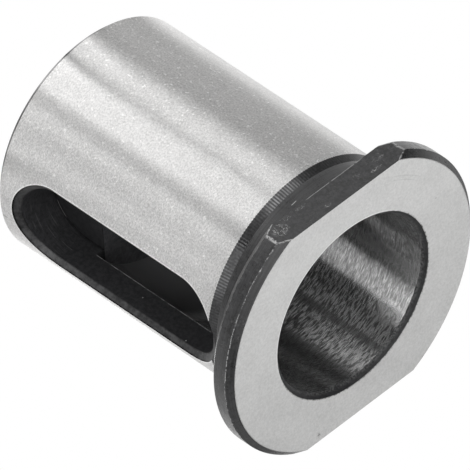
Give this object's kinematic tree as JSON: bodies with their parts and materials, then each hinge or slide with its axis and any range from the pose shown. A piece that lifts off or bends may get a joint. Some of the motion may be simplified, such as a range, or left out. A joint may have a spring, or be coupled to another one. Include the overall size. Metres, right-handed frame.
{
  "type": "reducing drill sleeve",
  "caption": "Flanged steel reducing sleeve for a drill shank, with a blind bore, two flats on the flange, an undercut and a clamp slot through the bore's wall.",
  "frame": {"origin": "centre of the rear end, on the axis, on the plane that the sleeve stands on", "axes": "+Z along the axis from the rear end to the ground front face of the flange, -Y through the middle of the clamp slot, +X and -X the normals of the two flats on the flange"},
  "size_m": [0.0278, 0.0324, 0.035],
  "materials": {
    "tool_steel": "ground outside diameter and front face, black oxide elsewhere"
  },
  "bodies": {
    "root": {"reducing_sleeve": "tool_steel"}
  },
  "joints": []
}
